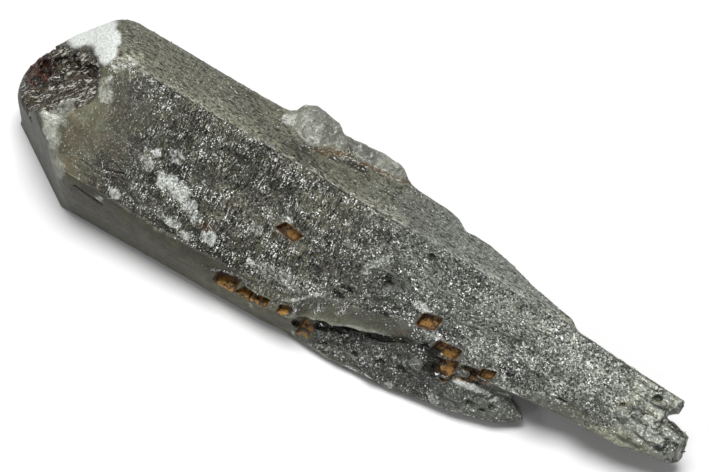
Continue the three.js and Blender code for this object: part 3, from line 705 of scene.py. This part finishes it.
def fine_crystal():
    """The solid remeshed finely, worn and sunk here and there; and its masks."""
    crystal = added("smoky_quartz_surface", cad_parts[NODE].data.copy())
    welded = bmesh.new()
    welded.from_mesh(crystal.data)
    bmesh.ops.remove_doubles(welded, verts=welded.verts, dist=1e-6)
    welded.to_mesh(crystal.data)
    welded.free()
    crystal.data.materials.clear()
    mesh = applied(crystal, "REMESH", mode="SHARP", octree_depth=GRID_DEPTH, scale=GRID_SCALE)
    points = read(mesh.vertices, "co", 3) / MM
    tree = BVHTree.FromPolygons(points.tolist(), [face.vertices[:] for face in mesh.polygons])
    zone = masks(points, read(mesh.vertices, "normal", 3), tree)
    on_floor = smooth(0.2, 1, points[:, 2])
    sharp = np.maximum(zone["rust"], 0.8 * zone["fracture"])
    points = worn(mesh, points, on_floor * (1 - sharp) * (1 - 0.7 * zone["side"]) * wear(points))
    move(mesh, points)
    points = in_box(points - read(mesh.vertices, "normal", 3) * (relief(points, zone) * on_floor)[:, None])
    move(mesh, points)
    triangles = sum(len(face.vertices) - 2 for face in mesh.polygons)
    mesh = applied(crystal, "DECIMATE", ratio=TRIANGLES / triangles)
    source = nearest(points, read(mesh.vertices, "co", 3) / MM)
    store(mesh, zone, source)
    return crystal, {name: values[source] for name, values in zone.items()}


def unit(vectors):
    """Vectors of length 1 along the given ones."""
    return vectors / np.linalg.norm(vectors, axis=1)[:, None]


def either(draw, chosen, first, second):
    """Random numbers from the first range where chosen, else from the second."""
    return np.where(chosen, draw.uniform(*first, len(chosen)), draw.uniform(*second, len(chosen)))


def hillock_places(mesh, zone, draw):
    """Where hillocks grow: their centres, corner points and crowding."""
    centres = read(mesh.polygons, "center", 3) / MM
    corner = read(mesh.loops, "vertex_index", kind=int)[read(mesh.polygons, "loop_start", kind=int)]
    here = {name: values[corner] for name, values in zone.items()}
    crowding = smooth(-0.45, 0.45, rough(centres, *CROWDS)) * smooth(-0.35, 0.5, rough(centres, *TRAILS))
    growth = here["grain"] * (0.15 + 0.85 * crowding) + 0.004 * here["clear"] * here["front"]
    chance = read(mesh.polygons, "area") * growth * (centres[:, 2] > 2)
    chance = chance * (1 - 0.7 * here["tip"]) * (1 - 0.6 * here["blade"])
    picked = draw.choice(len(centres), HILLOCKS, replace=False, p=chance / chance.sum())
    return centres[picked], corner[picked], crowding[picked]


def hillock_points(centre, normal, long, draw):
    """Eight points of each hillock: its tilted top, then its narrower root."""
    length = either(draw, long, *HILLOCK_LENGTHS)
    width = either(draw, long, *HILLOCK_WIDTHS)
    turn = np.where(long, draw.normal(0, 0.3, HILLOCKS), draw.uniform(-1.2, 1.2, HILLOCKS))
    down = unit(np.cross(normal, (1, 0, 0)))
    across = np.cross(down, normal)
    lean, bow = draw.normal(0, 0.16, (HILLOCKS, 1)), draw.normal(0, 0.1, (HILLOCKS, 1))
    tilted = unit(normal + lean * across + bow * down)
    long_way = unit(np.cross(across, tilted))
    long_way = long_way * np.cos(turn)[:, None] + np.cross(tilted, long_way) * np.sin(turn)[:, None]
    wide_way = np.cross(long_way, tilted)
    points = np.empty((HILLOCKS, 8, 3))
    for number, (a, b) in enumerate(((-1, -1), (1, -1), (1, 1), (-1, 1))):
        reach = draw.uniform(0.7, 1, (2, HILLOCKS))
        side = (a * reach[0] * length / 2)[:, None] * long_way
        side = side + (b * reach[1] * width / 2)[:, None] * wide_way
        points[:, number] = centre + side + tilted * HILLOCK_HEIGHT
        points[:, number + 4] = centre + side * 0.8 - tilted * HILLOCK_ROOT
    return points


def hillocks(crystal, zone):
    """Growth hillocks: thin tilted plates with flat tops, rooted in the faces."""
    draw = np.random.default_rng(17)
    centre, corner, crowding = hillock_places(crystal.data, zone, draw)
    values = {name: value[corner] for name, value in zone.items()}
    long = values["streak"] > draw.uniform(0.2, 0.8, HILLOCKS)
    points = hillock_points(centre, read(crystal.data.vertices, "normal", 3)[corner], long, draw)
    faces = (np.arange(HILLOCKS)[:, None, None] * 8 + np.array(HILLOCK_FACES)).reshape(-1, 4)
    crust = bpy.data.meshes.new("smoky_quartz_hillocks")
    crust.from_pydata(in_box(points.reshape(-1, 3)) * MM, [], faces.tolist())
    crust.update()
    kind = draw.uniform(0, 1, HILLOCKS)
    lighter = either(draw, kind < 0.4, (0.5, 0.9), (0.9, 1.3))
    # The pale long plates are painted glints: their tone is two to five times lighter.
    pale = long & (kind > 1 - 0.22 * crowding) & (values["blade"] < 0.3)
    values["tone"] = values["tone"] * np.where(pale, draw.uniform(2, 5, HILLOCKS), lighter)
    store(crust, values, np.repeat(np.arange(HILLOCKS), 8))
    return added("smoky_quartz_hillocks", crust)


# ---- materials

# The material's noises: their size in millimetres, detail and roughness.
NOISES = {
    "speck": ((0.7, 0.7, 0.7), 3, 0.6), "cloud": ((3, 2, 2), 4, 0.65),
    "clusters": ((4, 3, 3), 2, 0.5), "trails": ((0.4, 3, 3), 2, 0.6),
    "blobs": ((0.8, 0.8, 0.8), 1, 0.5), "columns": ((0.45, 0.45, 16), 3, 0.6),
    "striae": ((0.5, 10, 10), 3, 0.6), "ripples": ((3.4, 0.6, 0.8), 3, 0.6),
    "blush": ((7, 5, 5), 2, 0.5), "earth": ((0.38, 0.38, 0.38), 3, 0.65),
    "ribs": ((0.28, 1.4, 1.4), 2, 0.6), "clods": ((1.4, 1.4, 1.4), 2, 0.5),
}
# The same, in the fracture's own directions.
SPLINTER_NOISES = {"splinters": ((2, 0.4, 0.6), 3, 0.65), "slabs": ((5, 1.4, 2), 2, 0.5)}
# Micro-facets and dashes: the size of their cells.
FACETS = {
    "long": (0.34, 1.1, 1.1), "short": (0.42, 0.42, 0.42), "fine": (0.27, 0.27, 0.27),
    "dash": (0.9, 0.28, 0.28),
}
# The share of dash cells that are pits.
DASHED = (0.15, 0.19)
# Pairs of colours that a noise or a mask moves between.
COLOURS = {
    "cool": ((0.06, 0.063, 0.052), (0.068, 0.072, 0.063)),
    "warm": ((0.058, 0.057, 0.04), (0.068, 0.069, 0.05)),
    "olive": ((0.06, 0.056, 0.034), (0.078, 0.082, 0.053)),
    "deep": ((0.036, 0.031, 0.007), (0.084, 0.081, 0.028)),
    "side": ((0.062, 0.063, 0.05), (0.084, 0.087, 0.073)),
    "brown": ((0.004, 0.003, 0.002), (0.04, 0.03, 0.014)),
    "red": ((0.004, 0.002, 0.001), (0.04, 0.011, 0.004)),
    "milk": ((0.48, 0.5, 0.47), (0.4, 0.42, 0.37)),
    "frost": ((0.33, 0.35, 0.33), (0.52, 0.54, 0.52)),
    "rust": ((0.012, 0.005, 0.002), (0.24, 0.118, 0.016)),
    # The moulds' steep sides: brown rust darkened with painted shade.
    "shaded_walls": ((0.012, 0.007, 0.003), (0.085, 0.042, 0.012)),
}
# The near-white of the painted glints on the grain.
PAINTED_GLINT_COLOUR = (0.7, 0.71, 0.68)
FLAKE_COLOUR = (0.38, 0.38, 0.34)
BLUSH_COLOUR = (0.068, 0.059, 0.036)
STAIN_COLOUR = (0.06, 0.036, 0.014)
DARK_COLOUR = (0.012, 0.012, 0.01)
# The roughness around the grain and of it, and then of what is laid over them in turn.
GRAIN_ROUGHNESS = (0.22, 0.13)
ROUGHNESS = (
    (("back",), 0.42), (("frosted", "end"), 0.5), (("side", "flank"), 0.36), (("bruise",), 0.5),
    (("rust",), 0.6), (("dark",), 0.1),
)
QUARTZ_IOR = 1.544
QUARTZ_SPECULAR = 0.4
# How much light goes through clear quartz, and the smoke in it.
CLEARNESS = 0.75
SMOKE_COLOUR = (0.45, 0.4, 0.26)
SMOKE_DENSITY = 110
BUMP_HEIGHT = 0.4


class Shader:
    """Builds a node tree; its calls return output sockets."""

    def __init__(self, name):
        self.material = bpy.data.materials.new(name)
        self.material.use_nodes = True
        self.tree = self.material.node_tree
        self.surface = self.tree.nodes["Principled BSDF"].inputs
        self.named = {}

    def put(self, socket, value):
        """Sets or links a socket; a word stands for a mask or noise."""
        if isinstance(value, str):
            value = self.named[value]
        if isinstance(value, bpy.types.NodeSocket):
            self.tree.links.new(value, socket)
        elif socket.type == "RGBA":
            socket.default_value = (*value, 1)
        else:
            socket.default_value = value

    def node(self, kind, inputs, output, **settings):
        node = self.tree.nodes.new("ShaderNode" + kind)
        for name, value in settings.items():
            setattr(node, name, value)
        for name, value in inputs.items():
            self.put(node.inputs[name], value)
        return node.outputs[output]

    def finished(self, values):
        """The material, with what is set or linked on its surface."""
        for name, value in values.items():
            self.put(self.surface[name], value)
        return self.material

    def math(self, operation, a, b, clamp=False):
        return self.node("Math", {0: a, 1: b}, 0, operation=operation, use_clamp=clamp)

    def times(self, *terms):
        return functools.reduce(lambda a, b: self.math("MULTIPLY", a, b), terms)

    def plus(self, *terms, clamp=False):
        return functools.reduce(lambda a, b: self.math("ADD", a, b, clamp), terms)

    def most(self, *terms):
        return functools.reduce(lambda a, b: self.math("MAXIMUM", a, b), terms)

    def rest(self, share):
        """What a share leaves of 1."""
        return self.math("SUBTRACT", 1, share)

    def vector(self, operation, a, b):
        return self.node("VectorMath", {0: a, 1: b}, "Vector", operation=operation)

    def scaled(self, a, scale):
        return self.node("VectorMath", {0: a, "Scale": scale}, "Vector", operation="SCALE")

    def dot(self, a, b):
        return self.node("VectorMath", {0: a, 1: b}, "Value", operation="DOT_PRODUCT")

    def mix(self, amount, a, b, kind="RGBA"):
        return self.node("Mix", {"Factor": amount, "A": a, "B": b}, "Result", data_type=kind)

    def blend(self, amount, a, b):
        return self.mix(amount, a, b, "FLOAT")

    def range(self, value, low, high, to_low=0, to_high=1):
        """A value softly stretched from one span to another."""
        ends = {"From Min": low, "From Max": high, "To Min": to_low, "To Max": to_high}
        return self.node("MapRange", {"Value": value, **ends}, "Result", interpolation_type="SMOOTHSTEP")

    def noise(self, place, size, detail, roughness):
        inputs = {"Vector": self.vector("DIVIDE", place, size), "Scale": 1}
        return self.node("TexNoise", {**inputs, "Detail": detail, "Roughness": roughness}, "Fac")

    def facets(self, place, size):
        """Height of flat micro-facets, and each cell's random number."""
        stretched = self.vector("DIVIDE", place, size)
        middle = self.node("TexVoronoi", {"Vector": stretched, "Scale": 1}, "Position")
        colour = middle.node.outputs["Color"]
        tilt = self.vector("SUBTRACT", colour, (0.5, 0.5, 0.5))
        height = self.dot(self.vector("SUBTRACT", stretched, middle), tilt)
        return height, self.dot(colour, (1, 0, 0))


class Quartz(Shader):
    """The crystal's material."""

    def __init__(self):
        super().__init__("smoky_quartz")
        place = self.scaled(self.node("TexCoord", {}, "Object"), 1 / MM)
        ways = {number: self.dot(place, way) for number, way in enumerate(SPLINTER_WAYS)}
        splintered = self.node("CombineXYZ", ways, "Vector")
        for name in MATERIAL_MASKS:
            self.named[name] = self.node("Attribute", {}, "Fac", attribute_name=name)
        for name, row in NOISES.items():
            self.named[name] = self.noise(place, *row)
        for name, row in SPLINTER_NOISES.items():
            self.named[name] = self.noise(splintered, *row)
        for name, size in FACETS.items():
            self.named[name + " facets"], self.named[name + " cells"] = self.facets(place, size)

    def between(self, name, amount):
        """A colour between a pair of colours."""
        return self.mix(amount, *COLOURS[name])

    def lightness(self):
        """The quartz's tone with its fine light and dark marks."""
        chance = self.blend("streak", "short cells", "long cells")
        salt = self.range(chance, 0.72, 0.94, 1, 1.9)
        pepper = self.range(chance, 0.1, 0.45, 0.32, 1.04)
        gritty = self.times(salt, pepper, self.range("fine cells", 0.1, 0.9, 0.72, 1.3))
        salted = self.blend("grain", self.range("speck", 0.3, 0.7, 0.86, 1.18), gritty)
        marks = self.times(
            self.range("dash cells", *DASHED, 0.16, 1), self.range("speck", 0.3, 0.65, 0.75, 1.3),
            self.range("fine cells", 0.1, 0.9, 0.7, 1.3))
        columns = self.blend("end", 1, self.range("columns", 0.38, 0.62, 0.45, 1.5))
        lined = self.blend("flank", 1, self.range("striae", 0.38, 0.62, 0.7, 1.3))
        rippled = self.blend("rippled", 1, self.range("ripples", 0.4, 0.56, 0.35, 1.2))
        striped = self.times(columns, lined, rippled)
        return self.times("tone", salted, self.blend("back", 1, marks), striped)

    def plain(self):
        """The quartz's own colour: grey, or olive where it is clear."""
        cloud = self.range("cloud", 0.3, 0.7)
        sharp_cloud = self.range("cloud", 0.35, 0.65)
        grey = self.mix("streak", self.between("cool", cloud), self.between("warm", cloud))
        blushing = self.times(self.range("blush", 0.46, 0.62), self.range("streak", 0.9, 1))
        olive = self.mix(blushing, self.between("olive", sharp_cloud), BLUSH_COLOUR)
        olive = self.mix(self.most("frosted", "end"), olive, self.between("deep", sharp_cloud))
        olive = self.mix("side", olive, self.between("side", sharp_cloud))
        return self.mix("clear", grey, olive)

    def with_painted_glints(self, colour):
        """A colour with painted glints: near-white flecks in trails and clusters, and single points."""
        trails = self.blend("streak", self.range("blobs", 0.52, 0.64), self.range("trails", 0.5, 0.6))
        clusters = self.range("clusters", 0.46, 0.6, 0.1, 1)
        painted_streaks = self.times(trails, self.range("fine cells", 0.55, 0.8), clusters, "grain")
        painted_sparks = self.times(
            self.range("fine cells", 0.95, 0.98), self.range(self.most("grain", "back"), 0.1, 0.6),
            self.range("clusters", 0.4, 0.62, 0.1, 1), self.blend("clear", 1, 0.4),
            self.blend("back", 1, 0.4))
        return self.mix(self.most(painted_streaks, painted_sparks), colour, PAINTED_GLINT_COLOUR)

    def broken(self, colour):
        """A colour with the fracture on it: splinters, flakes and deep red glass."""
        flakes = self.times(self.range("splinters", 0.49, 0.58), self.range("slabs", 0.46, 0.58))
        brown = self.mix(flakes, self.between("brown", self.range("splinters", 0.38, 0.58)), FLAKE_COLOUR)
        glass = self.between("red", self.range("cloud", 0.4, 0.62))
        return self.mix("fracture", colour, self.mix("red", brown, glass))

    def milkiness(self):
        """The milk with its ragged edges and grainy insides."""
        ragged = self.times(self.range("speck", 0.3, 0.7, -1, 1), self.blend("clear", 0.6, 0.15))
        ragged = self.times("milk", self.plus(ragged, 1))
        return self.times(self.range(ragged, 0.1, 0.75), self.range("fine cells", 0, 0.8, 0.5, 1))

    def rusty(self, colour):
        """A colour with the rust on it: orange floors, and off the floors a darker brown, rust with painted
        shade.
        """
        clods = self.range("clods", 0.38, 0.56, 0.62, 1.12)
        ribbed = self.times("earth", self.range("ribs", 0.4, 0.56, 0.8, 1.1), clods)
        orange = self.between("rust", self.range(ribbed, 0.28, 0.54))
        shaded_walls = self.between("shaded_walls", self.range("earth", 0.4, 0.6))
        return self.mix("rust", colour, self.mix("floor", shaded_walls, orange))

    def glassiness(self, milky):
        """The share of light that goes through."""
        covered = self.plus(milky, "rust", "bruise", "fracture", "stain", clamp=True)
        return self.times("clear", self.rest(covered), CLEARNESS)

    def roughness(self):
        value = self.blend("grain", *GRAIN_ROUGHNESS)
        for names, roughness in ROUGHNESS:
            value = self.blend(self.most(*names), value, roughness)
        return value

    def bumps(self):
        """The fine relief; none in the dark places."""
        height = self.plus(
            self.times(self.blend("streak", "short facets", "long facets"), "grain"),
            self.times("fine facets", 0.4),
            self.times("splinters", "fracture"),
            self.times("speck", self.plus("bruise", "side", "frosted", clamp=True)),
            self.times("columns", "end"),
            self.times("striae", "flank"),
            self.times(self.range("dash cells", *DASHED, -0.5, 0), "back"),
        )
        return self.times(height, self.rest("dark"))


def crystal_material():
    quartz = Quartz()
    milky = quartz.milkiness()
    glassy = quartz.glassiness(milky)
    colour = quartz.scaled(quartz.plain(), quartz.lightness())
    # Painted glints go over the tone, then the brown stain.
    colour = quartz.mix("stain", quartz.with_painted_glints(colour), STAIN_COLOUR)
    colour = quartz.mix(milky, quartz.broken(colour), quartz.between("milk", "clear"))
    colour = quartz.mix("bruise", colour, quartz.between("frost", quartz.range("speck", 0.3, 0.7)))
    colour = quartz.mix("dark", quartz.rusty(colour), DARK_COLOUR)
    # The part that isn't glassy carries the whole colour.
    whole = quartz.math("DIVIDE", 1, quartz.rest(glassy))
    smoke = quartz.node("VolumeAbsorption", {"Color": SMOKE_COLOUR, "Density": SMOKE_DENSITY}, "Volume")
    quartz.put(quartz.tree.nodes["Material Output"].inputs["Volume"], smoke)
    bump = {"Strength": 1, "Distance": BUMP_HEIGHT * MM, "Height": quartz.bumps()}
    return quartz.finished({
        "Base Color": quartz.scaled(colour, whole), "Transmission Weight": glassy,
        "Roughness": quartz.roughness(), "IOR": QUARTZ_IOR, "Specular IOR Level": QUARTZ_SPECULAR,
        "Normal": quartz.node("Bump", bump, "Normal"),
    })


def floor_material():
    grey = (GROUND_GREY, GROUND_GREY, GROUND_GREY)
    return Shader("white_ground").finished(
        {"Base Color": grey, "Roughness": 0.9, "Specular IOR Level": 0.1})


# ---- stage, light and camera

def white_floor():
    mesh = bpy.data.meshes.new("white_ground")
    corners = ((-1, -1), (1, -1), (1, 1), (-1, 1))
    points = [(x * GROUND_HALF, y * GROUND_HALF, -GROUND_DROP * MM) for x, y in corners]
    mesh.from_pydata(points, [], [(0, 1, 2, 3)])
    mesh.materials.append(floor_material())
    floor = added("white_ground", mesh)


def toward(azimuth, elevation):
    """The way from the crystal to a viewer at these angles."""
    a, e = math.radians(azimuth), math.radians(elevation)
    return Vector((math.sin(a) * math.cos(e), -math.cos(a) * math.cos(e), math.sin(e)))


def softbox(name, azimuth, elevation, distance, size, power):
    """A square light that looks at the crystal."""
    light = bpy.data.lights.new(name, "AREA")
    light.shape = "SQUARE"
    light.size = size
    light.energy = power
    thing = added(name, light)
    away = toward(azimuth, elevation)
    thing.location = away * distance
    thing.rotation_euler = away.to_track_quat("Z", "Y").to_euler()


def lights():
    world = bpy.data.worlds.new("studio")
    world.use_nodes = True
    sky = world.node_tree.nodes["Background"].inputs
    sky["Color"].default_value = (1, 1, 1, 1)
    sky["Strength"].default_value = SKY_STRENGTH
    bpy.context.scene.world = world
    softbox("key", *KEY, **KEY_LIGHT)
    for azimuth, elevation in GLINTS:
        softbox(f"glint_{azimuth}_{elevation}", azimuth, elevation, **GLINT_LIGHT)
    bpy.context.scene.view_settings.view_transform = "Standard"


def camera():
    azimuth = math.radians(CAMERA_AZIMUTH)
    back = toward(CAMERA_AZIMUTH, CAMERA_ELEVATION)
    right = Vector((math.cos(azimuth), math.sin(azimuth), 0))
    up = back.cross(right)
    data = bpy.data.cameras.new("camera")
    data.lens = CAMERA_LENS
    data.sensor_width = CAMERA_SENSOR
    data.clip_start = CAMERA_START
    thing = added("camera", data)
    thing.matrix_world = (Matrix.Translation(Vector(CAMERA_PLACE) * MM)
                          @ Matrix((right, up, back)).transposed().to_4x4())
    bpy.context.scene.camera = thing


camera()
lights()
white_floor()
quartz = crystal_material()
surface, surface_zone = fine_crystal()
crust = hillocks(surface, surface_zone)
for piece in (surface, crust):
    piece.data.materials.append(quartz)
    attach(piece, "root")
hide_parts(NODE)
